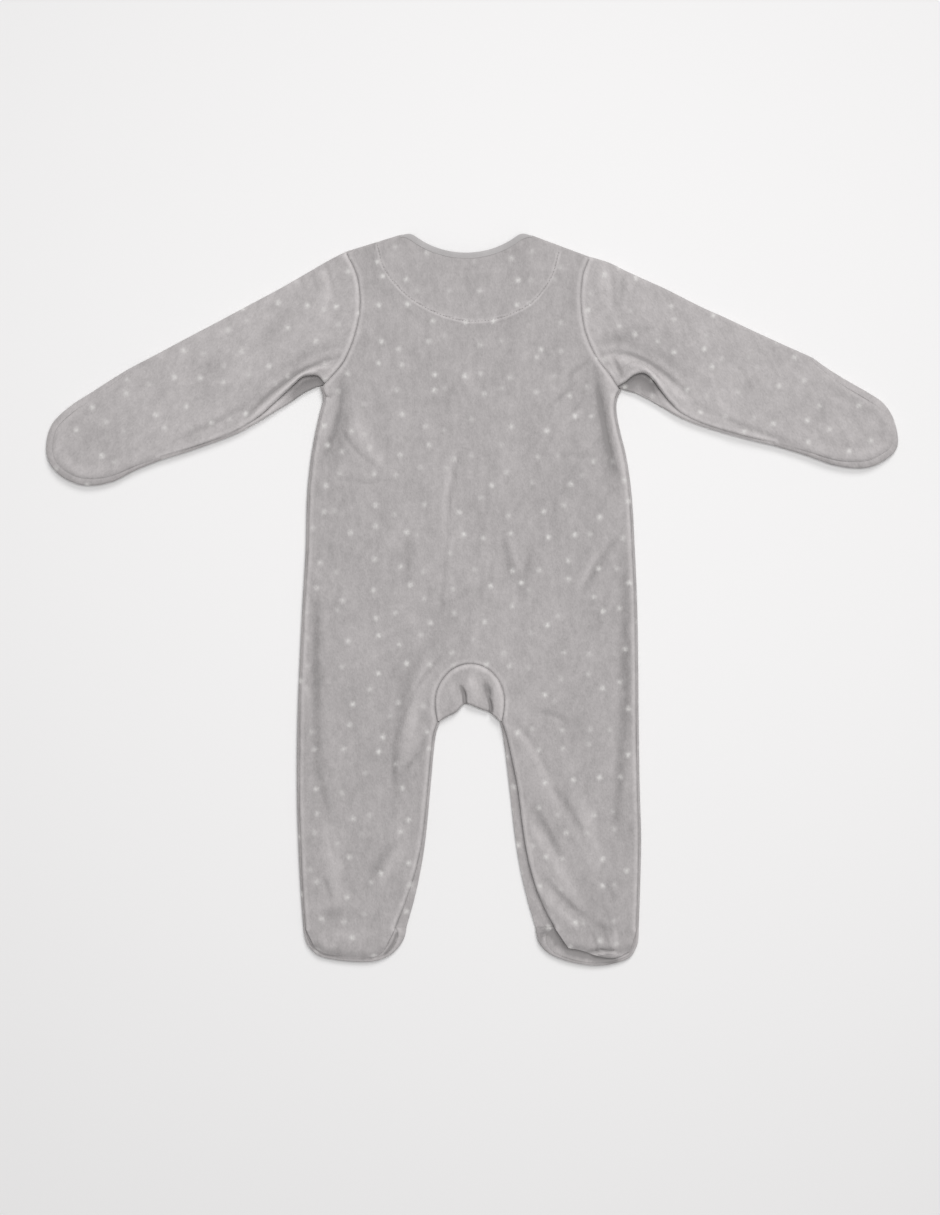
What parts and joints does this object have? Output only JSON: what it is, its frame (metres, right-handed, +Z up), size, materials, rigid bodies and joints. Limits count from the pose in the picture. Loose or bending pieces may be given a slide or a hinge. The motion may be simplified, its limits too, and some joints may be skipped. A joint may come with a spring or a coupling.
{
  "type": "footed baby sleepsuit",
  "caption": "Long-sleeved one-piece baby sleepsuit with closed mitten ends and feet, laid flat with its back up.",
  "frame": {"origin": "middle of the garment's underside, on the surface it lies on", "axes": "+X across the garment to the wearer's right, +Y from the feet to the neck, +Z up off the surface"},
  "size_m": [0.6802, 0.5854, 0.0115],
  "materials": {
    "velour": "soft grey velour with small pale spots",
    "plain_velour": "soft grey velour without spots",
    "facing": "thin grey jersey",
    "binding": "grey rib binding",
    "stud": "grey painted press stud"
  },
  "bodies": {
    "root": {"back": "velour", "neck_facing": "facing", "neck_binding_back": "binding", "front_left": "velour", "front_right": "velour", "neck_binding_front_left": "binding", "neck_binding_front_right": "binding", "sleeve_left": "velour", "sleeve_right": "velour", "mitt_left": "velour", "mitt_right": "velour", "gusset": "plain_velour", "foot_upper_left": "velour", "foot_upper_right": "velour", "sole_left": "plain_velour", "sole_right": "plain_velour", "stud_1": "stud", "stud_2": "stud", "stud_3": "stud", "stud_4": "stud", "stud_5": "stud", "stud_6": "stud"}
  },
  "joints": []
}
